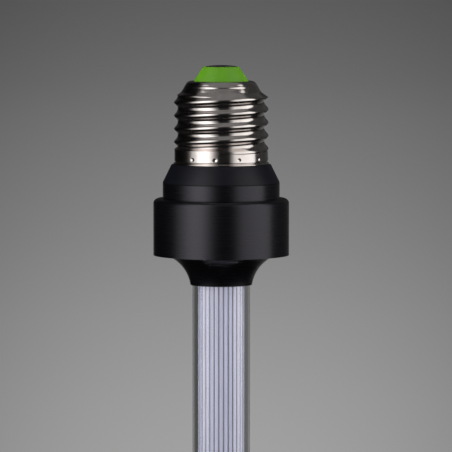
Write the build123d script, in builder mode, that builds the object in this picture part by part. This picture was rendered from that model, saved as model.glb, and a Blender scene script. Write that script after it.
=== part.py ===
from build123d import *
import math
import os

os.makedirs("parts", exist_ok=True)

# A tube lamp that hangs from its screw cap. Sizes are in millimetres.
# z = 0 is the foot of the screw shell's skirt, just above its rolled rim. The cap points up.

# Screw shell, rolled from thin sheet
shell_wall = 0.3
shell_h = 22.6
shell_hole_r = 7.65
shoulder_r = 9.25
shoulder_round = 0.8
shoulder_foot_r = 10.55
shoulder_drop = 2.2
skirt_inset = 0.1
skirt_top_z = 3.7
lip_reach = 0.25
lip_h = 0.45
dimple_count = 12
dimple_angle = -7.5
dimple_z = 1.3
dimple_ball_r = 0.72
dimple_depth = 0.2

# Round thread of the shell, right-handed
thread_pitch = 3.629
thread_crest_r = 13.1
thread_depth = 0.95
thread_mid_w = 1.66
thread_root_land = 0.1
thread_start_z = 2.832
thread_start_angle = -95
thread_floor_z = 4.5
thread_fade_in = 0.45
thread_top_drop = 5.9
thread_fade_drop = 4.6
thread_end_drop = 2.7

# Insulator and centre contact
crown_top_r = 4.9
crown_foot_r = 7.58
crown_bevel = 0.2
crown_h = 4.0
insulator_flange_h = 3.0
contact_r = 4.57
contact_edge = 0.5
contact_dome = 0.4
rivet_r = 1.5
rivet_bore_r = 0.6
rivet_bore_top = 0.9
rivet_head_r = 2.3
rivet_head_h = 0.4

# Neck, moulded in plastic
neck_margin = 0.5
neck_h = 5.6
neck_wall = 1.4
cap_spigot_h = 3.0
collar_spigot_r = 14.2
collar_spigot_h = 3.1
rib_w = 5.0
rib_reach = 3.0
board_hold = 0.8

# Upper collar
collar_r = 16.2
collar_h = 4.3
collar_edge = 0.15
ring_spigot_r = 14.8
ring_spigot_h = 6.0
collar_bore_r = 13.0

# Lower collar: wide ring with a flare that grips the tube
ring_r = 18.8
ring_h = 15.7
ring_top_round = 1.4
ring_foot_bevel = 0.3
ring_bore_r = 13.6
flare_root_r = 15.29
flare_h = 8.25
flare_arc_r = 10.6
flare_wall = 0.55
ledge_bore_r = 6.7
ledge_h = 0.8
seal_groove_w = 1.3
seal_groove_depth = 0.85
seal_below_ring = 3.8
driver_room = 4.0

# Light engine under the spreader disc
spreader_h = 2.0
led_board_r = 9.6
led_board_h = 1.0
led_well_h = 2.5
led_w = 2.8
led_l = 3.5
led_h = 0.7
led_count = 5
led_circle_r = 4.5
wire_hole_r = 1.1

# Tube and light guide
tube_r = 8.0
tube_wall = 1.5
tube_l = 246.7
guide_gap = 0.3
guide_fit = 0.05
rib_count = 32
guide_rib_r = 0.63
guide_rib_depth = 0.36
plug_h = 1.0
plug_spigot_h = 2.0
plug_edge = 0.4
seal_w = 0.82
seal_h = 1.1

# Driver board and what is soldered to it
board_t = 1.6
board_top_z = 16.0
board_l = 32.0
can_r = 4.0
can_l = 11.5
choke_r = 4.0
choke_h = 8.0
film_w = 7.5
film_t = 4.5
film_l = 7.0
film_round = 0.6
bridge_w = 4.7
bridge_t = 1.6
bridge_l = 3.9
chip_w = 5.0
chip_t = 1.5
chip_l = 4.0
fuse_r = 1.5
fuse_l = 6.5

# Heights of those parts' centres on the board, as shares of its length from its foot
can_share = 0.255
choke_share = 0.203
chip_share = 0.516
film_share = 0.644
bridge_share = 0.766
fuse_share = 0.85
shell_wire_share = 0.934

# Wires
wire_r = 0.35
wire_hold = 2.0
led_wire_x = 3.4

# Clearances
fit = 0.05
loose = 0.1

# Levels that several pieces share
shoulder_foot_z = shell_h - shoulder_drop
thread_top_z = shell_h - thread_top_drop
thread_fade_z = shell_h - thread_fade_drop
thread_end_z = shell_h - thread_end_drop
thread_root_r = thread_crest_r - thread_depth
shell_inner_r = thread_root_r - shell_wall
skirt_r = thread_crest_r - skirt_inset
lip_r = skirt_r + lip_reach
neck_top_r = lip_r + neck_margin
cap_spigot_r = skirt_r - shell_wall - loose
neck_bore_r = cap_spigot_r - neck_wall
insulator_flange_r = shoulder_foot_r - shell_wall - fit
collar_top_z = -neck_h
ring_top_z = collar_top_z - collar_h
ring_foot_z = ring_top_z - ring_h
flare_foot_z = ring_foot_z - flare_h
neck_foot_z = collar_top_z - collar_spigot_h
ring_seat_z = ring_top_z - ring_spigot_h - loose
spreader_top_z = ring_seat_z - driver_room
spreader_foot_z = spreader_top_z - spreader_h
led_face_z = spreader_foot_z - led_board_h
well_floor_z = spreader_foot_z - led_well_h
tube_top_z = well_floor_z - ledge_h
tube_foot_z = tube_top_z - tube_l
guide_r = tube_r - tube_wall - guide_fit
crown_top_z = shell_h + crown_h
insulator_foot_z = shell_h - shell_wall - insulator_flange_h
board_w = 2 * (neck_bore_r - rib_reach + board_hold)
board_front_y = -wire_r - fit
board_back_y = board_front_y - board_t
board_foot_z = board_top_z - board_l
can_z = board_foot_z + can_share * board_l
choke_z = board_foot_z + choke_share * board_l
chip_z = board_foot_z + chip_share * board_l
film_z = board_foot_z + film_share * board_l
bridge_z = board_foot_z + bridge_share * board_l
fuse_z = board_foot_z + fuse_share * board_l
shell_wire_z = board_foot_z + shell_wire_share * board_l


def sheet_outline(inset):
    """Half section of the screw shell's sheet, its outer face at inset 0."""
    return [
        (0, shell_h - inset),
        (shoulder_r - inset, shell_h - inset),
        (shoulder_foot_r - inset, shoulder_foot_z),
        (thread_root_r - inset, thread_top_z),
        (thread_root_r - inset, thread_floor_z),
        (skirt_r - inset, skirt_top_z),
        (skirt_r - inset, 0),
        (lip_r - inset, 0),
        (lip_r - inset, -lip_h),
        (0, -lip_h),
    ]


# Thread ridge: one smooth wave from foot to crest to foot. The feet dip just under the
# root cylinder so that the ridge joins it without a step.
dip = 0.02
ridge_h = thread_crest_r - thread_root_r + dip
half_span = (thread_pitch - thread_root_land) / 2
ridge_sink = shell_wall / 2
foot_rise = 0.2
turns = math.ceil((thread_end_z - thread_start_z) / thread_pitch)

with BuildPart() as thread_turn:
    with BuildLine(Plane.XY.offset(thread_start_z)) as turn_path:
        Helix(pitch=thread_pitch, height=thread_pitch, radius=thread_root_r - dip)
    with BuildSketch(Plane(turn_path.wire() @ 0, x_dir=(1, 0, 0), z_dir=(0, 1, 0))):
        with BuildLine():
            Spline(
                (0, -half_span),
                (ridge_h / 2, -thread_mid_w / 2),
                (ridge_h, 0),
                (ridge_h / 2, thread_mid_w / 2),
                (0, half_span),
                tangents=[(foot_rise, 1), (-foot_rise, 1)],
            )
            Polyline((0, half_span), (-ridge_sink, half_span), (-ridge_sink, -half_span), (0, -half_span))
        make_face()
    sweep(path=turn_path.wire(), is_frenet=True)

# The turns follow each other end to end. The ridge runs out into the skirt below
# and on the shoulder cone above.
with BuildPart() as thread_ridge:
    with Locations([(0, 0, thread_pitch * i) for i in range(turns)]):
        add(thread_turn.part, clean=False)
    with BuildSketch(Plane.XZ):
        with BuildLine():
            Polyline(
                (0, 0),
                (skirt_r - loose, 0),
                (skirt_r - loose, skirt_top_z),
                (thread_crest_r + loose, skirt_top_z + thread_fade_in),
                (thread_crest_r + loose, thread_fade_z),
                (shoulder_foot_r, thread_end_z),
                (0, thread_end_z),
                close=True,
            )
        make_face()
    revolve(axis=Axis.Z, mode=Mode.INTERSECT, clean=False)

with BuildPart() as screw_shell:
    with BuildSketch(Plane.XZ) as shell_form:
        with BuildLine():
            Polyline(*sheet_outline(0), close=True)
        make_face()
        shoulder = shell_form.vertices().sort_by(Axis.Y)[-2:].sort_by(Axis.X)[-1]
        fillet(shoulder, radius=shoulder_round)
    revolve(axis=Axis.Z)
    add(thread_ridge.part, rotation=(0, 0, thread_start_angle))
    with BuildSketch(Plane.XZ):
        with BuildLine():
            Polyline(*sheet_outline(shell_wall), close=True)
        make_face()
    revolve(axis=Axis.Z, mode=Mode.SUBTRACT)
    with BuildSketch(Plane.XY.offset(shell_h)):
        Circle(shell_hole_r)
    extrude(amount=-2 * shell_wall, mode=Mode.SUBTRACT)
    with Locations((0, 0, dimple_z)):
        with PolarLocations(skirt_r + dimple_ball_r - dimple_depth, dimple_count, dimple_angle):
            Sphere(dimple_ball_r, mode=Mode.SUBTRACT)
screw_shell.part.label = "screw_shell"
export_step(screw_shell.part, "parts/screw_shell.step")

# Moulded insulator: its flange fills the shell's shoulder and its crown stands in the hole.
with BuildPart() as cap_insulator:
    with BuildSketch(Plane.XZ) as crown_form:
        with BuildLine():
            Polyline(
                (0, crown_top_z),
                (crown_top_r, crown_top_z),
                (crown_foot_r, shell_h),
                (crown_foot_r, shell_h - shell_wall),
                (shoulder_r - shell_wall - fit, shell_h - shell_wall),
                (insulator_flange_r, shoulder_foot_z),
                (insulator_flange_r, insulator_foot_z),
                (0, insulator_foot_z),
                close=True,
            )
        make_face()
        edge = crown_form.vertices().sort_by(Axis.Y)[-2:].sort_by(Axis.X)[-1]
        chamfer(edge, length=crown_bevel)
    revolve(axis=Axis.Z)
    with BuildSketch(Plane.XY.offset(crown_top_z)):
        Circle(contact_r + fit)
    extrude(amount=-contact_edge, mode=Mode.SUBTRACT)
    with BuildSketch(Plane.XY.offset(crown_top_z)):
        Circle(rivet_r + fit)
    extrude(until=Until.LAST, dir=(0, 0, -1), mode=Mode.SUBTRACT)
cap_insulator.part.label = "cap_insulator"
export_step(cap_insulator.part, "parts/cap_insulator.step")

# Centre contact: a domed disc whose hollow shank is riveted under the insulator.
with BuildPart() as centre_contact:
    with BuildSketch(Plane.XZ):
        with BuildLine():
            dome = ThreePointArc(
                (-contact_r, crown_top_z),
                (0, crown_top_z + contact_dome),
                (contact_r, crown_top_z),
            )
            Line((contact_r, crown_top_z), (contact_r, crown_top_z - contact_edge))
            Line((contact_r, crown_top_z - contact_edge), (-contact_r, crown_top_z - contact_edge))
            Line((-contact_r, crown_top_z - contact_edge), (-contact_r, crown_top_z))
        make_face()
        split(bisect_by=Plane.YZ)
    revolve(axis=Axis.Z)
    with BuildSketch(Plane.XY.offset(insulator_foot_z)):
        Circle(rivet_r)
    extrude(amount=crown_top_z - contact_edge - insulator_foot_z)
    with BuildSketch(Plane.XY.offset(insulator_foot_z)):
        Circle(rivet_head_r)
    extrude(amount=-rivet_head_h)
    with BuildSketch(Plane.XY.offset(insulator_foot_z - rivet_head_h)):
        Circle(rivet_bore_r)
    extrude(amount=crown_top_z - rivet_bore_top - insulator_foot_z + rivet_head_h, mode=Mode.SUBTRACT)
centre_contact.part.label = "centre_contact"
export_step(centre_contact.part, "parts/centre_contact.step")

# Neck: a plastic cone with one spigot up in the shell's skirt and one down in the collar.
# Two slotted ribs inside hold the driver board by its edges.
with BuildPart() as insulating_neck:
    with BuildSketch(Plane.XZ):
        with BuildLine():
            Polyline(
                (neck_bore_r, cap_spigot_h),
                (cap_spigot_r, cap_spigot_h),
                (cap_spigot_r, -lip_h),
                (neck_top_r, -lip_h),
                (collar_r, collar_top_z),
                (collar_spigot_r, collar_top_z),
                (collar_spigot_r, neck_foot_z),
                (neck_bore_r, neck_foot_z),
                close=True,
            )
        make_face()
    revolve(axis=Axis.Z)
    with BuildSketch(Plane.XY.offset(neck_foot_z)):
        Circle(neck_bore_r + loose)
        Rectangle(2 * (neck_bore_r - rib_reach), 2 * neck_bore_r, mode=Mode.SUBTRACT)
        with Locations((0, (board_front_y + board_back_y) / 2)):
            Rectangle(2 * (neck_bore_r + loose), rib_w, mode=Mode.INTERSECT)
            Rectangle(board_w + 2 * loose, board_t + 2 * loose, mode=Mode.SUBTRACT)
    extrude(amount=cap_spigot_h - neck_foot_z)
insulating_neck.part.label = "insulating_neck"
export_step(insulating_neck.part, "parts/insulating_neck.step")

# Upper collar: turned aluminium, seated on the neck's spigot and let into the wide ring.
with BuildPart() as upper_collar:
    with BuildSketch(Plane.XZ) as collar_form:
        with BuildLine():
            Polyline(
                (collar_spigot_r + fit, collar_top_z),
                (collar_r, collar_top_z),
                (collar_r, ring_top_z),
                (ring_spigot_r, ring_top_z),
                (ring_spigot_r, ring_top_z - ring_spigot_h),
                (collar_bore_r, ring_top_z - ring_spigot_h),
                (collar_bore_r, neck_foot_z - fit),
                (collar_spigot_r + fit, neck_foot_z - fit),
                close=True,
            )
        make_face()
        top_edge = collar_form.vertices().sort_by(Axis.X)[-2:].sort_by(Axis.Y)[-1]
        chamfer(top_edge, length=collar_edge)
    revolve(axis=Axis.Z)
upper_collar.part.label = "upper_collar"
export_step(upper_collar.part, "parts/upper_collar.step")

# Lower collar: one turned piece, from the counterbore at the top through the seat of the
# spreader and the light engine's well to the flare that grips the tube.
with BuildPart() as lower_collar:
    with BuildSketch(Plane.XZ) as ring_form:
        with BuildLine():
            Polyline(
                (tube_r + fit, flare_foot_z),
                (tube_r + flare_wall, flare_foot_z),
            )
            RadiusArc((tube_r + flare_wall, flare_foot_z), (flare_root_r, ring_foot_z), flare_arc_r)
            Polyline(
                (flare_root_r, ring_foot_z),
                (ring_r, ring_foot_z),
                (ring_r, ring_top_z),
                (ring_spigot_r + fit, ring_top_z),
                (ring_spigot_r + fit, ring_seat_z),
                (ring_bore_r, ring_seat_z),
                (ring_bore_r, spreader_foot_z),
                (led_board_r + loose, spreader_foot_z),
                (led_board_r + loose, well_floor_z),
                (ledge_bore_r, well_floor_z),
                (ledge_bore_r, tube_top_z),
                (tube_r + fit, tube_top_z),
                (tube_r + fit, flare_foot_z),
            )
        make_face()
        rim = ring_form.vertices().group_by(Axis.X)[-1].sort_by(Axis.Y)
        fillet(rim[-1], radius=ring_top_round)
        rim = ring_form.vertices().group_by(Axis.X)[-1].sort_by(Axis.Y)
        chamfer(rim[0], length=ring_foot_bevel)
        with Locations((tube_r + fit, ring_foot_z - seal_below_ring)):
            Rectangle(2 * seal_groove_depth, seal_groove_w, mode=Mode.SUBTRACT)
    revolve(axis=Axis.Z)
lower_collar.part.label = "lower_collar"
export_step(lower_collar.part, "parts/lower_collar.step")

# Square-cut seal ring in the flare's groove.
with BuildPart() as tube_seal:
    with BuildSketch(Plane.XZ):
        with Locations((tube_r + fit / 2 + seal_w / 2, ring_foot_z - seal_below_ring)):
            Rectangle(seal_w, seal_h)
    revolve(axis=Axis.Z)
tube_seal.part.label = "tube_seal"
export_step(tube_seal.part, "parts/tube_seal.step")

# Spreader disc pressed in the collar, with holes for the wires. The emitters' board is
# bonded under it.
with BuildPart() as heat_spreader:
    with BuildSketch(Plane.XY.offset(spreader_foot_z)):
        Circle(ring_bore_r - fit)
        with Locations((led_wire_x, 0), (-led_wire_x, 0)):
            Circle(wire_hole_r, mode=Mode.SUBTRACT)
    extrude(amount=spreader_h)
heat_spreader.part.label = "heat_spreader"
export_step(heat_spreader.part, "parts/heat_spreader.step")

with BuildPart() as led_board:
    with BuildSketch(Plane.XY.offset(led_face_z)):
        Circle(led_board_r)
    extrude(amount=led_board_h)
led_board.part.label = "led_board"
export_step(led_board.part, "parts/led_board.step")

with BuildPart() as led_emitters:
    with BuildSketch(Plane.XY.offset(led_face_z)):
        with PolarLocations(led_circle_r, led_count):
            Rectangle(led_w, led_l)
    extrude(amount=-led_h)
led_emitters.part.label = "led_emitters"
export_step(led_emitters.part, "parts/led_emitters.step")

# Clear outer tube, standing against the collar's ledge.
with BuildPart() as outer_tube:
    with BuildSketch(Plane.XY.offset(tube_foot_z)):
        Circle(tube_r)
        Circle(tube_r - tube_wall, mode=Mode.SUBTRACT)
    extrude(amount=tube_l)
outer_tube.part.label = "outer_tube"
export_step(outer_tube.part, "parts/outer_tube.step")

# Reeded light guide: rounded ribs all along a rod, from just under the emitters to the plug.
guide_top_z = led_face_z - led_h - guide_gap
guide_foot_z = tube_foot_z + plug_spigot_h
with BuildPart() as light_guide:
    with BuildSketch(Plane.XY.offset(guide_foot_z)):
        Circle(guide_r - guide_rib_depth)
        with PolarLocations(guide_r - guide_rib_r, rib_count):
            Circle(guide_rib_r)
    extrude(amount=guide_top_z - guide_foot_z)
light_guide.part.label = "light_guide"
export_step(light_guide.part, "parts/light_guide.step")

# End plug, let into the tube from below.
with BuildPart() as tube_end_plug:
    with BuildSketch(Plane.XY.offset(tube_foot_z)):
        Circle(tube_r)
    extrude(amount=-plug_h)
    chamfer(tube_end_plug.edges().group_by(Axis.Z)[0], length=plug_edge)
    with BuildSketch(Plane.XY.offset(tube_foot_z)):
        Circle(tube_r - tube_wall - fit)
    extrude(amount=plug_spigot_h)
tube_end_plug.part.label = "tube_end_plug"
export_step(tube_end_plug.part, "parts/tube_end_plug.step")

# Driver board, upright in the neck's slots. Its front face leaves the wires on the axis.
with BuildPart() as driver_board:
    with BuildSketch(Plane.XZ.offset(-board_front_y)):
        with Locations((0, (board_top_z + board_foot_z) / 2)):
            Rectangle(board_w, board_l)
    extrude(amount=board_t)
driver_board.part.label = "driver_board"
export_step(driver_board.part, "parts/driver_board.step")

# Parts on the board's front face.
with BuildPart() as storage_capacitor:
    with BuildSketch(Plane.XY.offset(can_z - can_l / 2)):
        with Locations((0, board_front_y + can_r)):
            Circle(can_r)
    extrude(amount=can_l)
storage_capacitor.part.label = "storage_capacitor"
export_step(storage_capacitor.part, "parts/storage_capacitor.step")

with BuildPart() as film_capacitor:
    with BuildSketch(Plane.XZ.offset(-board_front_y)):
        with Locations((0, film_z)):
            RectangleRounded(film_w, film_l, film_round)
    extrude(amount=-film_t)
film_capacitor.part.label = "film_capacitor"
export_step(film_capacitor.part, "parts/film_capacitor.step")

with BuildPart() as fusible_resistor:
    with BuildSketch(Plane.YZ.offset(-fuse_l / 2)):
        with Locations((board_front_y + fuse_r, fuse_z)):
            Circle(fuse_r)
    extrude(amount=fuse_l)
fusible_resistor.part.label = "fusible_resistor"
export_step(fusible_resistor.part, "parts/fusible_resistor.step")

# Parts on the board's back face.
with BuildPart() as input_choke:
    with BuildSketch(Plane.XZ.offset(-board_back_y)):
        with Locations((0, choke_z)):
            Circle(choke_r)
    extrude(amount=choke_h)
input_choke.part.label = "input_choke"
export_step(input_choke.part, "parts/input_choke.step")

with BuildPart() as bridge_rectifier:
    with BuildSketch(Plane.XZ.offset(-board_back_y)):
        with Locations((0, bridge_z)):
            Rectangle(bridge_w, bridge_l)
    extrude(amount=bridge_t)
bridge_rectifier.part.label = "bridge_rectifier"
export_step(bridge_rectifier.part, "parts/bridge_rectifier.step")

with BuildPart() as driver_chip:
    with BuildSketch(Plane.XZ.offset(-board_back_y)):
        with Locations((0, chip_z)):
            Rectangle(chip_w, chip_l)
    extrude(amount=chip_t)
driver_chip.part.label = "driver_chip"
export_step(driver_chip.part, "parts/driver_chip.step")

# Stiff wires, soldered along the board's front face: up into the rivet's bore, across to
# the shell, and down through the spreader to the emitters' board.
with BuildPart() as contact_lead:
    with BuildSketch(Plane.XY.offset(board_top_z - wire_hold)):
        Circle(wire_r)
    extrude(amount=crown_top_z - rivet_bore_top - loose - board_top_z + wire_hold)
contact_lead.part.label = "contact_lead"
export_step(contact_lead.part, "parts/contact_lead.step")

with BuildPart() as shell_lead:
    with BuildSketch(Plane.YZ.offset(board_w / 2 - wire_hold)):
        with Locations((0, shell_wire_z)):
            Circle(wire_r)
    extrude(amount=shell_inner_r - loose - board_w / 2 + wire_hold)
shell_lead.part.label = "shell_lead"
export_step(shell_lead.part, "parts/shell_lead.step")

with BuildPart() as led_lead_positive:
    with BuildSketch(Plane.XY.offset(spreader_foot_z)):
        with Locations((led_wire_x, 0)):
            Circle(wire_r)
    extrude(amount=board_foot_z + wire_hold - spreader_foot_z)
led_lead_positive.part.label = "led_lead_positive"
export_step(led_lead_positive.part, "parts/led_lead_positive.step")

with BuildPart() as led_lead_negative:
    mirror(led_lead_positive.part, about=Plane.YZ)
led_lead_negative.part.label = "led_lead_negative"
export_step(led_lead_negative.part, "parts/led_lead_negative.step")
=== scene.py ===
import math

import bmesh
import bpy
from mathutils import Matrix, Vector


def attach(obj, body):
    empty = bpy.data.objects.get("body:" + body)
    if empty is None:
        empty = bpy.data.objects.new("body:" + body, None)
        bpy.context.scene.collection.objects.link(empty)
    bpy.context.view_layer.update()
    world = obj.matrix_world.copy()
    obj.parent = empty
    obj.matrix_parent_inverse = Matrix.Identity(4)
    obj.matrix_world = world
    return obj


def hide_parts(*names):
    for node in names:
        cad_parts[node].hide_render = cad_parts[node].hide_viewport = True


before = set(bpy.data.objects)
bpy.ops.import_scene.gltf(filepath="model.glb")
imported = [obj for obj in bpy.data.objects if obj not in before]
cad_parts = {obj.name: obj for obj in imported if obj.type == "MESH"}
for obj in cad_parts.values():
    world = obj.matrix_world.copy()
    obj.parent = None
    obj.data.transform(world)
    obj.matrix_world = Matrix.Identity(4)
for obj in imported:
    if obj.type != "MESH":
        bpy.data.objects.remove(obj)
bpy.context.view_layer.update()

# Camera: a long lens a little above the collar, level with the top of the cap, so that every
# flat ring shows as a very thin ellipse. It comes first because everything is judged from it.
film_width = 36
picture_width = 0.1252
camera_distance = 1.25
camera_height = 0.071
aim = Vector((0.00133, 0, -0.0176))
camera = bpy.data.objects.new("camera", bpy.data.cameras.new("camera"))
camera.location = (aim.x, -camera_distance, camera_height)
line_of_sight = aim - camera.location
camera.rotation_euler = line_of_sight.to_track_quat("-Z", "Y").to_euler()
camera.data.sensor_width = film_width
camera.data.lens = film_width * line_of_sight.length / picture_width
bpy.context.scene.collection.objects.link(camera)
bpy.context.scene.camera = camera
bpy.context.scene.view_settings.view_transform = "Standard"


# Screw shell: thin sheet with a right-handed rounded thread rolled into it, nickel-plated.
# A rim curls out at its foot, and a ring of small stake marks locks it on the neck.
MM = 0.001
shell_wall = 0.3
shell_h = 22.6
shell_hole_r = 7.65
lip_r, lip_h, lip_round = 13.25, 0.45, 0.2
groove_top_z, groove_foot_z, groove_depth, groove_round = 0.48, 0.1, 0.22, 0.1
skirt_r, skirt_top_z = 13.0, 3.7
root_r, root_foot_z, root_top_z = 12.15, 4.5, 16.7
waist_r, waist_z = 11.5, 18.85
shoulder_foot_r, shoulder_foot_z = 10.55, 20.4
shoulder_r, shoulder_round = 9.25, 0.8
crest_r, crest_sharpness = 13.1, 1.22
thread_pitch, thread_start_z, thread_start_angle, thread_foot_z = 3.629, 2.832, -95, 2.9
# the thread's largest radius by height, which runs it out at both ends
thread_fade = ((1.9, 13.0), (2.9, 13.08), (3.7, 13.2), (18.0, 13.2), (19.9, 10.55))
thread_run_in = 8
dimples, dimple_angle, dimple_z = 12, -7.5, 1.3
dimple_ball_r, dimple_depth = 0.72, 0.2
crimp_z, crimp_h, crimp_step = 20.95, 1.1, 0.018
round_steps = 5
shell_steps = 384


def half_section(corners, rounds=(), closed=True):
    """A bmesh with one chain of edges through (radius, height) corners, some of them rounded."""
    bm = bmesh.new()
    verts = [bm.verts.new((r * MM, 0, z * MM)) for r, z in corners]
    for start, end in zip(verts, verts[1:] + verts[:1] if closed else verts[1:]):
        bm.edges.new((start, end))
    for corner, radius in rounds:
        bmesh.ops.bevel(bm, geom=[verts[corner]], offset=radius * MM, segments=round_steps,
                        profile=0.5, affect="VERTICES", material=-1)
    return bm


def turn(bm, steps=160):
    """Spins the half section about the bulb's axis into a closed body."""
    bmesh.ops.spin(bm, geom=bm.verts[:] + bm.edges[:], cent=(0, 0, 0), axis=(0, 0, 1),
                   angle=2 * math.pi, steps=steps, use_merge=True)
    bmesh.ops.remove_doubles(bm, verts=bm.verts[:], dist=1e-7)
    bmesh.ops.recalc_face_normals(bm, faces=bm.faces[:])


def piece(bm, name, material, node, crease=32):
    """Makes the finished mesh a piece that stands for its CAD node."""
    mesh = bpy.data.meshes.new(name)
    bm.to_mesh(mesh)
    bm.free()
    mesh.shade_smooth()
    mesh.set_sharp_from_angle(angle=math.radians(crease))
    mesh.materials.append(material)
    thing = bpy.data.objects.new(name, mesh)
    bpy.context.scene.collection.objects.link(thing)
    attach(thing, "root")
    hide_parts(node)


def between(table, z):
    """Reads a radius at height z from a short table of (height, radius) pairs."""
    if z <= table[0][0]:
        return table[0][1]
    for (z0, r0), (z1, r1) in zip(table, table[1:]):
        if z <= z1:
            return r0 + (r1 - r0) * (z - z0) / (z1 - z0)
    return 0


def thread_radius(plain_r, angle, z):
    """Radius of the rolled wall: a smooth wave on each turn, run out at both ends."""
    climb = (angle - thread_start_angle) % 360 / 360
    turns_up = (z - thread_start_z) / thread_pitch - climb
    nearest = round(turns_up)
    if nearest < 0:
        return plain_r
    swell = math.cos(math.pi * (turns_up - nearest)) ** (2 * crest_sharpness)
    wave_r = min(root_r + (crest_r - root_r) * swell, between(thread_fade, z))
    run_in = min(1, climb * thread_run_in) if nearest == 0 else 1
    return plain_r + max(0, wave_r - plain_r) * run_in


def dimple_radius(plain_r, angle, z):
    """Radius of the skirt where a round punch has staked it in."""
    spacing = 360 / dimples
    off_angle = (angle - dimple_angle + spacing / 2) % spacing - spacing / 2
    across = math.radians(off_angle) * skirt_r
    off = across ** 2 + (z - dimple_z) ** 2
    if off >= dimple_ball_r ** 2:
        return plain_r
    punch_r = skirt_r + dimple_ball_r - dimple_depth
    return min(plain_r, punch_r - math.sqrt(dimple_ball_r ** 2 - off))


def adder(tree):
    """A function that adds a node to the tree, with its inputs set or joined up."""
    def add(kind, inputs=(), **settings):
        node = tree.nodes.new(kind)
        for key, value in settings.items():
            setattr(node, key, value)
        for key, value in dict(inputs).items():
            if isinstance(value, bpy.types.NodeSocket):
                tree.links.new(value, node.inputs[key])
            else:
                node.inputs[key].default_value = value
        return node
    return add


def nodes_of(name):
    """A new material with its Principled shader and functions that add and join its nodes."""
    material = bpy.data.materials.new(name)
    material.use_nodes = True
    tree = material.node_tree
    shader = tree.nodes["Principled BSDF"]

    def join(out, socket):
        tree.links.new(out, shader.inputs[socket])

    return material, shader, adder(tree), join


def maths(add, operation, first, second):
    """The result of one sum on two values."""
    return add("ShaderNodeMath", {0: first, 1: second}, operation=operation).outputs[0]


def noise(add, place, scale, detail, roughness=0.5):
    """Noise at a place, from 0 to 1."""
    return add("ShaderNodeTexNoise", {"Vector": place, "Scale": scale, "Detail": detail,
                                      "Roughness": roughness}).outputs["Fac"]


def two_tone(add, value, shade, light, shade_at=0.0, light_at=1.0):
    """A colour that runs from a shade to a lighter tone with the value."""
    tone = add("ShaderNodeValToRGB", {"Fac": value})
    dark_end, light_end = tone.color_ramp.elements
    dark_end.position, dark_end.color = shade_at, (*shade, 1)
    light_end.position, light_end.color = light_at, (*light, 1)
    return tone.outputs["Color"]


def spread(add, value, low, high):
    """The value, moved from 0...1 to low...high."""
    return add("ShaderNodeMapRange", {"Value": value, "To Min": low, "To Max": high}).outputs[0]


def relief(add, height, strength, distance):
    """Fine unevenness of a surface, in metres."""
    return add("ShaderNodeBump", {"Height": height, "Strength": strength,
                                  "Distance": distance}).outputs[0]


def object_place(add):
    """Coordinates of the piece itself."""
    return add("ShaderNodeTexCoord").outputs["Object"]


def off_axis(add, place):
    """Distance from the bulb's axis."""
    flat = add("ShaderNodeVectorMath", {0: place, 1: (1, 1, 0)}, operation="MULTIPLY").outputs[0]
    return add("ShaderNodeVectorMath", {0: flat}, operation="LENGTH").outputs["Value"]


def turned_place(add, around, along):
    """Coordinates that run round a turned surface, squeezed round it and stretched along it."""
    place = object_place(add)
    split = add("ShaderNodeSeparateXYZ", {0: place}).outputs
    heading = maths(add, "ARCTAN2", split["Y"], split["X"])
    across = maths(add, "MULTIPLY", maths(add, "ADD", off_axis(add, place), split["Z"]), along)
    round_it = maths(add, "MULTIPLY", heading, around)
    return add("ShaderNodeCombineXYZ", {"X": across, "Y": round_it}).outputs[0]


nickel, shader, add, join = nodes_of("bright_nickel")
shader.inputs["Metallic"].default_value = 1
tarnish = noise(add, object_place(add), 260, 4, 0.6)
join(two_tone(add, tarnish, (0.62, 0.565, 0.545), (0.74, 0.70, 0.68), 0.3, 0.7), "Base Color")
rolling = noise(add, turned_place(add, 2.2, 5200), 1, 3)
join(spread(add, rolling, 0.09, 0.17), "Roughness")
join(relief(add, rolling, 0.10, 0.00003), "Normal")

bm = half_section([
    (shell_hole_r, shell_h), (shoulder_r, shell_h), (shoulder_foot_r, shoulder_foot_z),
    (waist_r, waist_z), (root_r, root_top_z), (root_r, root_foot_z), (skirt_r, skirt_top_z),
    (skirt_r, groove_top_z), (skirt_r - groove_depth, groove_foot_z), (lip_r, 0), (lip_r, -lip_h),
    (skirt_r - shell_wall, -lip_h), (skirt_r - shell_wall, skirt_top_z),
    (root_r - shell_wall, root_foot_z), (root_r - shell_wall, root_top_z),
    (shoulder_foot_r - shell_wall, shoulder_foot_z),
    (shoulder_r - shell_wall, shell_h - shell_wall), (shell_hole_r, shell_h - shell_wall)],
    rounds=[(1, shoulder_round), (7, groove_round), (9, lip_round), (10, lip_round)])


def at_corner(vert, corner):
    """Says whether a vertex is at a (radius, height) corner. None stands for any corner."""
    same = 1e-3
    return corner is None or (abs(vert.co.x / MM - corner[0]) < same
                              and abs(vert.co.z / MM - corner[1]) < same)


# the wall's outside gets enough rows of vertices to carry the thread and the stake marks
smallest_stretch = 1 * MM
for low, high, cuts in (((skirt_r, groove_top_z + groove_round), (skirt_r, skirt_top_z), 24),
                        ((skirt_r, skirt_top_z), (root_r, root_foot_z), 18),
                        ((root_r, root_foot_z), (root_r, root_top_z), 110),
                        ((root_r, root_top_z), (waist_r, waist_z), 14),
                        ((waist_r, waist_z), (shoulder_foot_r, shoulder_foot_z), 10),
                        ((shoulder_foot_r, shoulder_foot_z), None, 26)):
    stretch = []
    for edge in bm.edges:
        one, other = edge.verts
        if (at_corner(one, low) and at_corner(other, high)
                or at_corner(other, low) and at_corner(one, high)):
            if min(one.co.z, other.co.z) >= low[1] * MM - 1e-6:
                if edge.calc_length() > smallest_stretch:
                    stretch.append(edge)
    bmesh.ops.subdivide_edges(bm, edges=stretch, cuts=cuts)
turn(bm, steps=shell_steps)

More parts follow.
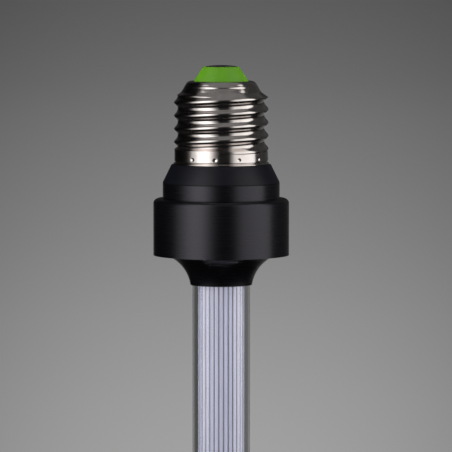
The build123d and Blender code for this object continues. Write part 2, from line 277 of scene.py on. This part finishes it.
# the thread, the stake marks and a faint crimped bead on the shoulder move the outside's vertices
outside = ((0, skirt_r), (skirt_top_z, skirt_r), (root_foot_z, root_r), (root_top_z, root_r),
           (waist_z, waist_r), (shoulder_foot_z, shoulder_foot_r), (shell_h, shoulder_r))
shaped_from_z, shaped_to_z = groove_top_z + groove_round + 0.01, shell_h - shoulder_round
outside_margin = 0.05
for v in bm.verts:
    plain_r = math.hypot(v.co.x, v.co.y) / MM
    z = v.co.z / MM
    if shaped_from_z < z < shaped_to_z and plain_r > between(outside, z) - outside_margin:
        angle = math.degrees(math.atan2(v.co.y, v.co.x))
        shape = thread_radius if z > thread_foot_z else dimple_radius
        wanted_r = shape(plain_r, angle, z)
        if abs(z - crimp_z) < crimp_h / 2:
            wanted_r += crimp_step * math.sin(2 * math.pi * (z - crimp_z) / crimp_h)
        v.co.xy *= wanted_r / plain_r
piece(bm, "shell", nickel, "screw_shell")


# Cap insulator: a glossy green moulding. Its crown stands up in the shell's hole and carries
# the contact, and its flange is crimped under the shell's shoulder.
crown_top_z = 26.6
crown_top_r, crown_foot_r, crown_bevel = 4.9, 7.58, 0.25
flange_r, flange_top_z, flange_foot_z = 10.2, 20.35, 19.3
recess_r, recess_depth = 4.62, 0.5
shoulder_gap = 0.05
green, shader, add, join = nodes_of("green_moulding")
flow = noise(add, object_place(add), 420, 3)
join(two_tone(add, flow, (0.050, 0.154, 0.0025), (0.062, 0.178, 0.004)), "Base Color")
grain = noise(add, object_place(add), 2400, 2)
join(spread(add, grain, 0.34, 0.46), "Roughness")
join(relief(add, grain, 0.08, 0.00004), "Normal")
bm = half_section([
    (0, crown_top_z - recess_depth), (recess_r, crown_top_z - recess_depth),
    (recess_r, crown_top_z), (crown_top_r, crown_top_z), (crown_foot_r, shell_h),
    (crown_foot_r, shell_h - shell_wall),
    (shoulder_r - shell_wall - shoulder_gap, shell_h - shell_wall), (flange_r, flange_top_z),
    (flange_r, flange_foot_z), (0, flange_foot_z)], rounds=[(3, crown_bevel)], closed=False)
turn(bm, steps=128)
piece(bm, "crown", green, "cap_insulator")


# Centre contact: a domed disc of nickel-plated brass. Its hollow shank goes down through the
# insulator and is riveted over underneath.
contact_r, contact_rise, contact_edge, contact_round = 4.57, 0.4, 0.5, 0.12
rivet_r, rivet_bore_r, rivet_bore_drop, rivet_head_r, rivet_head_h = 1.5, 0.6, 0.9, 2.3, 0.4
contact_foot_z = crown_top_z - contact_edge
rivet_foot_z = flange_foot_z - rivet_head_h
# shares of the radius and of the rise along the dome
dome = ((0, 1), (0.35, 0.88), (0.7, 0.51), (1, 0))
bm = half_section([
    *((contact_r * out, crown_top_z + contact_rise * up) for out, up in dome),
    (contact_r, contact_foot_z), (rivet_r, contact_foot_z), (rivet_r, flange_foot_z),
    (rivet_head_r, flange_foot_z), (rivet_head_r, rivet_foot_z), (rivet_bore_r, rivet_foot_z),
    (rivet_bore_r, crown_top_z - rivet_bore_drop), (0, crown_top_z - rivet_bore_drop)],
    rounds=[(3, contact_round)], closed=False)
turn(bm, steps=96)
piece(bm, "contact", nickel, "centre_contact")


# Neck: a black moulding that keeps the live shell away from the collar. It flares from the
# shell's rim to the collar's edge, and two ribs inside carry the driver board.
neck_top_r, neck_bore_r, neck_spigot_h, neck_fit = 13.75, 11.2, 3.0, 0.1
neck_top_round, neck_edge_round = 0.18, 0.06
collar_r, collar_top_z = 16.2, -5.6
neck_spigot_r, neck_foot_z = 14.2, -8.7
seam_h, seam_depth = 0.16, 0.3
board_rib_size, board_rib_x, board_rib_y, board_rib_z = (2.4, 5.0, 11.6), 10.3, -1.2, -2.85
moulded_black, shader, add, join = nodes_of("moulded_black")
cloud = noise(add, object_place(add), 300, 4)
join(two_tone(add, cloud, (0.0011, 0.0012, 0.0020), (0.0022, 0.0024, 0.0038)), "Base Color")
grain = noise(add, object_place(add), 3600, 2)
join(spread(add, grain, 0.34, 0.46), "Roughness")
join(relief(add, grain, 0.18, 0.00004), "Normal")
shader.inputs["Specular IOR Level"].default_value = 0.28
shader.inputs["Specular Tint"].default_value = (0.92, 0.92, 1.0, 1)
bm = half_section([
    (neck_bore_r, neck_spigot_h), (skirt_r - shell_wall - neck_fit, neck_spigot_h),
    (skirt_r - shell_wall - neck_fit, -lip_h), (neck_top_r, -lip_h),
    (collar_r, collar_top_z + seam_h), (collar_r - seam_depth, collar_top_z + seam_h),
    (collar_r - seam_depth, collar_top_z), (neck_spigot_r, collar_top_z),
    (neck_spigot_r, neck_foot_z), (neck_bore_r, neck_foot_z)],
    rounds=[(3, neck_top_round), (4, neck_edge_round)])
turn(bm)
for side in (-1, 1):
    rib = bmesh.ops.create_cube(bm, size=1)["verts"]
    bmesh.ops.scale(bm, verts=rib, vec=[size * MM for size in board_rib_size])
    bmesh.ops.translate(bm, verts=rib,
                        vec=(side * board_rib_x * MM, board_rib_y * MM, board_rib_z * MM))
piece(bm, "neck", moulded_black, "insulating_neck")


# Upper collar: turned aluminium, anodised satin black, pushed over the neck's spigot. Its
# lower spigot drops into the wide ring, and a hair-line joint shows above and below it.
collar_foot_z, collar_spigot_foot_z = -9.9, -15.9
collar_edge, collar_spigot_r, collar_bore_r, push_fit = 0.15, 14.8, 13.0, 0.05
anodised, shader, add, join = nodes_of("black_anodised")
turning = noise(add, turned_place(add, 1.1, 7800), 1, 4)
bloom = noise(add, object_place(add), 140, 3)
join(two_tone(add, maths(add, "MULTIPLY", turning, bloom), (0.0007, 0.0007, 0.0010),
              (0.0016, 0.0016, 0.0022)), "Base Color")
join(spread(add, turning, 0.22, 0.34), "Roughness")
join(relief(add, turning, 0.16, 0.00003), "Normal")
shader.inputs["Specular Tint"].default_value = (0.90, 0.87, 1.0, 1)
bm = half_section([
    (neck_spigot_r + push_fit, collar_top_z), (collar_r, collar_top_z),
    (collar_r, collar_foot_z), (collar_spigot_r, collar_foot_z),
    (collar_spigot_r, collar_spigot_foot_z), (collar_bore_r, collar_spigot_foot_z),
    (collar_bore_r, neck_foot_z - push_fit), (neck_spigot_r + push_fit, neck_foot_z - push_fit)],
    rounds=[(1, collar_edge)])
turn(bm)
piece(bm, "collar", anodised, "upper_collar")


# Lower collar: one turned and anodised piece. The wide ring has a well rounded top edge, and
# under it the wall sweeps in to a thin flare that grips the tube.
ring_r, ring_foot_z = 18.8, -25.6
ring_round, ring_bevel, ring_bore_r = 1.4, 0.3, 13.6
socket_foot_z, driver_room_foot_z = -16.0, -22.0
light_well_r, light_well_foot_z = 9.7, -24.5
ledge_r, ledge_foot_z = 6.7, -25.3
flare_root_r, flare_foot_z, flare_wall = 15.29, -33.85, 0.55
flare_arc_steps = 28
tube_r = 8.0
flare_centre = Vector((19.08 * MM, 0, -35.55 * MM))
flare_lip = Vector(((tube_r + flare_wall) * MM, 0, flare_foot_z * MM))
flare_root = Vector((flare_root_r * MM, 0, ring_foot_z * MM))
bm = half_section([
    (ring_r, ring_foot_z), (ring_r, collar_foot_z), (collar_spigot_r + push_fit, collar_foot_z),
    (collar_spigot_r + push_fit, socket_foot_z), (ring_bore_r, socket_foot_z),
    (ring_bore_r, driver_room_foot_z), (light_well_r, driver_room_foot_z),
    (light_well_r, light_well_foot_z), (ledge_r, light_well_foot_z), (ledge_r, ledge_foot_z),
    (tube_r + push_fit, ledge_foot_z), (tube_r + push_fit, flare_foot_z)],
    rounds=[(0, ring_bevel), (1, ring_round)], closed=False)
lip = bm.verts.new(flare_lip)
sweep = (flare_lip - flare_centre).angle(flare_root - flare_centre)
bmesh.ops.spin(bm, geom=[lip], cent=flare_centre, axis=(0, 1, 0), angle=sweep,
               steps=flare_arc_steps)
# the arc's ends join the tube's socket below and the ring's foot above
ends = sorted((v for v in bm.verts if len(v.link_edges) == 1), key=lambda v: v.co.z)
bm.edges.new(ends[:2])
bm.edges.new(ends[2:])
turn(bm)
piece(bm, "ring_and_flare", anodised, "lower_collar", crease=28)


# Outer tube: clear extruded acrylic with polished walls. It stands in the flare against the
# collar's ledge, and its thick wall bends the light at both sides.
tube_wall, tube_top_z, tube_foot_z = 1.5, -25.3, -272.0
acrylic, shader, add, join = nodes_of("clear_acrylic")
shader.inputs["Base Color"].default_value = (0.97, 0.975, 0.985, 1)
shader.inputs["Transmission Weight"].default_value = 1
shader.inputs["IOR"].default_value = 1.49
handling = noise(add, object_place(add), 90, 5)
smear = add("ShaderNodeMapRange", {"Value": handling, "From Min": 0.45, "To Max": 0.03})
join(smear.outputs[0], "Roughness")
bm = half_section([
    (tube_r, tube_top_z), (tube_r, tube_foot_z), (tube_r - tube_wall, tube_foot_z),
    (tube_r - tube_wall, tube_top_z)])
turn(bm, steps=192)
piece(bm, "tube", acrylic, "outer_tube")


# Light guide: a milky rod with rounded ribs all along it, extruded in one piece. The ribs catch
# the light as fine bright lines, and the dark valleys between them are partly painted shade: the
# colour darkens below the crests.
guide_r, rib_r, rib_depth, ribs, rib_steps = 6.45, 0.63, 0.36, 32, 8
guide_top_z, guide_foot_z = -24.0, -270.0
milky, shader, add, join = nodes_of("milky_acrylic")
streak = noise(add, turned_place(add, 14, 30), 1, 3)
milk = two_tone(add, streak, (0.70, 0.71, 0.97), (0.79, 0.80, 1.0), 0.3, 0.7)
rib_height = add("ShaderNodeMapRange", {"Value": off_axis(add, object_place(add)),
                                        "From Min": (guide_r - rib_depth) * MM,
                                        "From Max": guide_r * MM}).outputs[0]
# painted shade: the milk darkens with depth towards the valleys between the ribs
painted_valley_shade = two_tone(add, rib_height, (0.13, 0.127, 0.175), (1, 1, 1), 0.1, 0.75)
lit = add("ShaderNodeMix", {"Factor": 1.0, "A": milk, "B": painted_valley_shade},
          data_type="RGBA", blend_type="MULTIPLY")
join(lit.outputs["Result"], "Base Color")
join(spread(add, streak, 0.22, 0.34), "Roughness")
shader.inputs["Coat Weight"].default_value = 0.6
shader.inputs["Coat Roughness"].default_value = 0.12

# one rib's arc runs between the valleys on both sides of it
rib_centre_r = guide_r - rib_r
valley_r = guide_r - rib_depth
opening = math.acos((valley_r ** 2 - rib_centre_r ** 2 - rib_r ** 2) / (2 * rib_centre_r * rib_r))
bm = bmesh.new()
start = bm.verts.new(((rib_centre_r + rib_r * math.cos(opening)) * MM,
                      -rib_r * math.sin(opening) * MM, guide_top_z * MM))
bmesh.ops.spin(bm, geom=[start], cent=(rib_centre_r * MM, 0, guide_top_z * MM), axis=(0, 0, 1),
               angle=2 * opening, steps=rib_steps)
one_rib = bm.verts[:] + bm.edges[:]
for i in range(1, ribs):
    copy = bmesh.ops.duplicate(bm, geom=one_rib)["geom"]
    bmesh.ops.rotate(bm, verts=[g for g in copy if isinstance(g, bmesh.types.BMVert)],
                     cent=(0, 0, 0), matrix=Matrix.Rotation(2 * math.pi * i / ribs, 3, "Z"))
open_ends = sorted((v for v in bm.verts if len(v.link_edges) == 1),
                   key=lambda v: math.atan2(v.co.y, v.co.x))
first, second, third = (v.co for v in open_ends[:3])
if math.dist(first, second) > math.dist(second, third):
    open_ends = open_ends[1:] + open_ends[:1]
for pair in zip(open_ends[0::2], open_ends[1::2]):
    bm.edges.new(pair)
top = bmesh.ops.contextual_create(bm, geom=bm.edges[:])["faces"]
walls = bmesh.ops.extrude_face_region(bm, geom=top)["geom"]
bmesh.ops.translate(bm, verts=[g for g in walls if isinstance(g, bmesh.types.BMVert)],
                    vec=(0, 0, (guide_foot_z - guide_top_z) * MM))
bmesh.ops.recalc_face_normals(bm, faces=bm.faces[:])
piece(bm, "guide", milky, "light_guide", crease=40)


# End plug: clear acrylic, let into the tube's open end and bonded there. Its outer edge is
# bevelled, and its spigot carries the light guide's foot.
plug_foot_z, plug_bevel, plug_fit = -273.0, 0.4, 0.05
plug_spigot_r = tube_r - tube_wall - plug_fit
bm = half_section([
    (0, guide_foot_z), (plug_spigot_r, guide_foot_z), (plug_spigot_r, tube_foot_z),
    (tube_r, tube_foot_z), (tube_r, plug_foot_z + plug_bevel),
    (tube_r - plug_bevel, plug_foot_z), (0, plug_foot_z)], closed=False)
turn(bm, steps=128)
piece(bm, "plug", acrylic, "tube_end_plug")


# Parts inside the cap and collars: the light engine, the driver board and its wires. They are
# sealed in, so the solids stay as they are and get their real finishes.
def finish(node, light, shade, roughness, scale, metallic=0.0):
    """A two-tone, slightly uneven finish on one of the inner parts."""
    material, shader, add, join = nodes_of(node + "_finish")
    shader.inputs["Metallic"].default_value = metallic
    mottle = noise(add, object_place(add), scale, 3)
    join(two_tone(add, mottle, shade, light), "Base Color")
    join(spread(add, mottle, roughness, roughness + 0.12), "Roughness")
    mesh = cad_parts[node].data
    mesh.materials.clear()
    mesh.materials.append(material)


finish("tube_seal", (0.86, 0.86, 0.86), (0.78, 0.78, 0.79), 0.55, 900)
finish("heat_spreader", (0.78, 0.78, 0.80), (0.66, 0.66, 0.68), 0.30, 700, metallic=1.0)
finish("led_board", (0.90, 0.90, 0.89), (0.82, 0.82, 0.82), 0.45, 800)
finish("led_emitters", (0.92, 0.76, 0.20), (0.84, 0.66, 0.14), 0.30, 1500)
finish("driver_board", (0.05, 0.22, 0.10), (0.03, 0.14, 0.07), 0.40, 600)
finish("storage_capacitor", (0.08, 0.09, 0.20), (0.05, 0.06, 0.14), 0.32, 500)
finish("film_capacitor", (0.60, 0.22, 0.06), (0.50, 0.17, 0.04), 0.30, 500)
finish("fusible_resistor", (0.33, 0.55, 0.45), (0.26, 0.46, 0.38), 0.50, 700)
finish("input_choke", (0.03, 0.03, 0.03), (0.015, 0.015, 0.015), 0.45, 900)
for chip in ("bridge_rectifier", "driver_chip"):
    finish(chip, (0.03, 0.03, 0.032), (0.018, 0.018, 0.018), 0.55, 1400)
for wire in ("contact_lead", "led_lead_positive"):
    finish(wire, (0.50, 0.04, 0.03), (0.40, 0.03, 0.02), 0.45, 900)
for wire in ("shell_lead", "led_lead_negative"):
    finish(wire, (0.03, 0.03, 0.03), (0.02, 0.02, 0.02), 0.45, 900)


# Studio floor: pale and matt under the bulb. Farther out it glows with a painted pool of light
# that fades with distance and dims to the sides, so that the far floor is the picture's grey
# backdrop. Bare metal mirrors a painted dark patch on it.
floor_r = 60
bm = bmesh.new()
bmesh.ops.create_circle(bm, cap_ends=True, segments=96, radius=floor_r)
bmesh.ops.translate(bm, verts=bm.verts[:], vec=(0, 0, plug_foot_z * MM))
mesh = bpy.data.meshes.new("floor")
bm.to_mesh(mesh)
bm.free()
floor = bpy.data.objects.new("floor", mesh)
bpy.context.scene.collection.objects.link(floor)
floor_paint, shader, add, join = nodes_of("floor_paint")
shader.inputs["Base Color"].default_value = (0.28, 0.28, 0.28, 1)
shader.inputs["Roughness"].default_value = 0.9
shader.inputs["Specular IOR Level"].default_value = 0.1
place = object_place(add)
split = add("ShaderNodeSeparateXYZ", {0: place}).outputs
away = off_axis(add, place)
nearness = maths(add, "DIVIDE", 1.0, maths(add, "ADD", away, camera_distance))
# painted pool of light: the far floor's glow is brighter nearer the bulb
painted_pool = add("ShaderNodeValToRGB", {"Fac": nearness})
# the painted pool's brightness by nearness
stops = ((0.0, 0.080), (0.0629, 0.109), (0.0855, 0.124), (0.1115, 0.144), (0.137, 0.171),
         (0.163, 0.194), (0.189, 0.216), (0.215, 0.238), (0.267, 0.287), (0.318, 0.326),
         (0.352, 0.345), (0.8, 0.42))
for position, level in stops[1:-1]:
    painted_pool.color_ramp.elements.new(position)
for element, (position, level) in zip(painted_pool.color_ramp.elements, stops):
    element.position, element.color = position, (level, level, level, 1)
# painted shade: the glow dims towards the sides
sideways = maths(add, "MULTIPLY", split["X"], nearness)
dim = add("ShaderNodeMapRange", {"Value": maths(add, "MULTIPLY", sideways, sideways),
                                 "From Max": 0.0028, "To Min": 1.03, "To Max": 0.80}).outputs[0]
painted_pool_glow = add("ShaderNodeEmission", {"Color": painted_pool.outputs["Color"], "Strength": dim}).outputs[0]
path = add("ShaderNodeLightPath").outputs
seen = maths(add, "MAXIMUM", path["Is Camera Ray"], path["Is Glossy Ray"])
seen = maths(add, "MAXIMUM", seen, path["Is Transmission Ray"])
far = add("ShaderNodeMapRange", {"Value": away, "From Min": 0.5, "From Max": 1.4}).outputs[0]
lit_floor_and_painted_pool = add("ShaderNodeMixShader", {0: maths(add, "MULTIPLY", seen, far),
                                        1: shader.outputs[0], 2: painted_pool_glow}).outputs[0]
# painted dark reflection: metal sees the floor as near black in front of the bulb and to its left,
# and the clear tube doesn't show it
depth = maths(add, "ADD", split["Y"], maths(add, "MINIMUM", split["X"], 0.0))
ahead = add("ShaderNodeMapRange", {"Value": depth, "From Min": 0.8, "From Max": 0.3}).outputs[0]
painted_dark_share = maths(add, "MULTIPLY", path["Is Glossy Ray"], ahead)
bare = maths(add, "LESS_THAN", path["Transmission Depth"], 1.0)
painted_dark_share = maths(add, "MULTIPLY", painted_dark_share, bare)
# painted dark reflection: a near-black glow that only reflections see
painted_dark_reflection = add("ShaderNodeEmission", {"Color": (0.008, 0.008, 0.008, 1)}).outputs[0]
surface = add("ShaderNodeMixShader", {0: painted_dark_share, 1: lit_floor_and_painted_pool, 2: painted_dark_reflection}).outputs[0]
floor_tree = floor_paint.node_tree
floor_tree.links.new(surface, floor_tree.nodes["Material Output"].inputs["Surface"])
mesh.materials.append(floor_paint)


# Studio light: two tall soft boxes, left and right of the camera. The lamps light the bulb, and
# the boxes' graded cloth fronts and the dark room between them are what the metal mirrors.
def soft_box(name, azimuth, watts, distance=0.62, height=0.14, size=(0.70, 0.80)):
    """A lamp that stands at an azimuth from the front and points at the bulb."""
    lamp = bpy.data.objects.new(name, bpy.data.lights.new(name, "AREA"))
    lamp.data.shape = "RECTANGLE"
    lamp.data.size, lamp.data.size_y = size
    lamp.data.energy = watts
    heading = math.radians(azimuth)
    lamp.location = (distance * math.sin(heading), -distance * math.cos(heading), height)
    lamp.rotation_euler = (-lamp.location).to_track_quat("-Z", "Y").to_euler()
    lamp.visible_camera = lamp.visible_glossy = lamp.visible_transmission = False
    bpy.context.scene.collection.objects.link(lamp)


soft_box("left_lamp", -68, 12.0)
soft_box("right_lamp", 74, 10.5)


def cloth_front(name, stops, low=-0.27, high=0.45, away=0.5, through=None):
    """A tall curved panel that only reflections see. Stops give its brightness by azimuth."""
    foot_fade, panel_steps = 0.2, 32
    (first, first_level), (last, last_level) = stops[0], stops[-1]
    start = math.radians(first)
    bm = bmesh.new()
    foot = Vector((away * math.sin(start), -away * math.cos(start), low))
    ends = [bm.verts.new(foot), bm.verts.new(foot + Vector((0, 0, high - low)))]
    edge = bm.edges.new(ends)
    bmesh.ops.spin(bm, geom=ends + [edge], cent=(0, 0, 0), axis=(0, 0, 1),
                   angle=math.radians(last - first), steps=panel_steps)
    mesh = bpy.data.meshes.new(name)
    bm.to_mesh(mesh)
    bm.free()
    panel = bpy.data.objects.new(name, mesh)
    bpy.context.scene.collection.objects.link(panel)
    material, shader, add, join = nodes_of(name + "_cloth")
    place = add("ShaderNodeSeparateXYZ", {0: object_place(add)}).outputs
    heading = maths(add, "ARCTAN2", place["X"], maths(add, "MULTIPLY", place["Y"], -1.0))
    along = add("ShaderNodeMapRange", {"Value": heading, "From Min": start,
                                       "From Max": math.radians(last)}).outputs[0]
    levels = add("ShaderNodeFloatCurve", {"Value": along})
    brightest = max(level for _, level in stops)
    curve = levels.mapping.curves[0]
    for azimuth, level in stops[1:-1]:
        curve.points.new((azimuth - first) / (last - first), level / brightest)
    curve.points[0].location = (0, first_level / brightest)
    curve.points[-1].location = (1, last_level / brightest)
    levels.mapping.update()
    power = maths(add, "MULTIPLY", levels.outputs[0], brightest)
    # the foot of the cloth fades into the floor
    rise = add("ShaderNodeMapRange", {"Value": place["Z"], "From Min": low,
                                      "From Max": low + foot_fade, "To Min": 0.1},
               interpolation_type="SMOOTHSTEP").outputs[0]
    power = maths(add, "MULTIPLY", power, rise)
    if through is not None:
        passed = add("ShaderNodeLightPath").outputs["Is Transmission Ray"]
        power = add("ShaderNodeMix", {"Factor": passed, "A": power, "B": through})
        power = power.outputs["Result"]
    cloth = add("ShaderNodeEmission", {"Color": (1.0, 0.985, 0.97, 1), "Strength": power})
    tree = material.node_tree
    tree.links.new(cloth.outputs[0], tree.nodes["Material Output"].inputs["Surface"])
    mesh.materials.append(material)
    panel.visible_camera = panel.visible_diffuse = panel.visible_shadow = False
    return panel


left_front = cloth_front("left_front", (
    (-97, 0.01), (-90, 0.03), (-83, 0.14), (-75, 0.66), (-67, 0.95), (-54, 1.85), (-40, 2.05),
    (-26, 1.3), (-14, 0.3), (-6, 0.02)), high=0.645)
right_front = cloth_front("right_front", (
    (20, 0.02), (28, 0.42), (37, 1.05), (50, 1.2), (64, 1.35), (82, 1.3), (88, 1.15),
    (92, 0.04)), high=0.575)
cloth_front("left_flag", ((-160, 0.03), (-145, 0.006), (-98, 0.006)), high=1.2, away=0.9,
            through=0.078)
cloth_front("right_flag", ((97, 0.045), (145, 0.05), (160, 0.08)), high=1.2, away=0.9,
            through=0.13)
cloth_front("dark_room", ((-8, 0.010), (22, 0.014)), high=0.5, away=1.6)
for panel in (left_front, right_front):
    panel.visible_transmission = False

# strips that only the milky core sees, through the clear tube
for name, stops in (("left_strip", ((-100, 2.8), (-79, 2.8), (-58, 2.8))),
                    ("right_strip", ((60, 2.4), (80, 2.4), (105, 2.4))),
                    ("middle_strip", ((-34, 1.3), (-10, 1.7), (14, 1.7), (34, 1.3)))):
    cloth_front(name, stops, away=0.45).visible_glossy = False

# the room: a dim ceiling light above the front, and near darkness elsewhere
world = bpy.data.worlds.new("room")
bpy.context.scene.world = world
world.use_nodes = True
add = adder(world.node_tree)
heading = add("ShaderNodeSeparateXYZ", {0: add("ShaderNodeTexCoord").outputs["Generated"]}).outputs
overhead = add("ShaderNodeMapRange", {"Value": heading["Z"], "From Min": 0.75, "From Max": 0.85},
               interpolation_type="SMOOTHSTEP").outputs[0]
off_side = add("ShaderNodeMath", {0: heading["X"]}, operation="ABSOLUTE").outputs[0]
middle = add("ShaderNodeMapRange", {"Value": off_side, "From Min": 0.68, "From Max": 0.48},
             interpolation_type="SMOOTHSTEP").outputs[0]
level = spread(add, maths(add, "MULTIPLY", overhead, middle), 0.03, 0.20)
seen = add("ShaderNodeLightPath").outputs["Is Camera Ray"]
backdrop = add("ShaderNodeMix", {"Factor": seen, "A": level, "B": 0.09}).outputs["Result"]
sky = world.node_tree.nodes["Background"]
world.node_tree.links.new(backdrop, sky.inputs["Strength"])
sky.inputs["Color"].default_value = (1, 1, 1, 1)
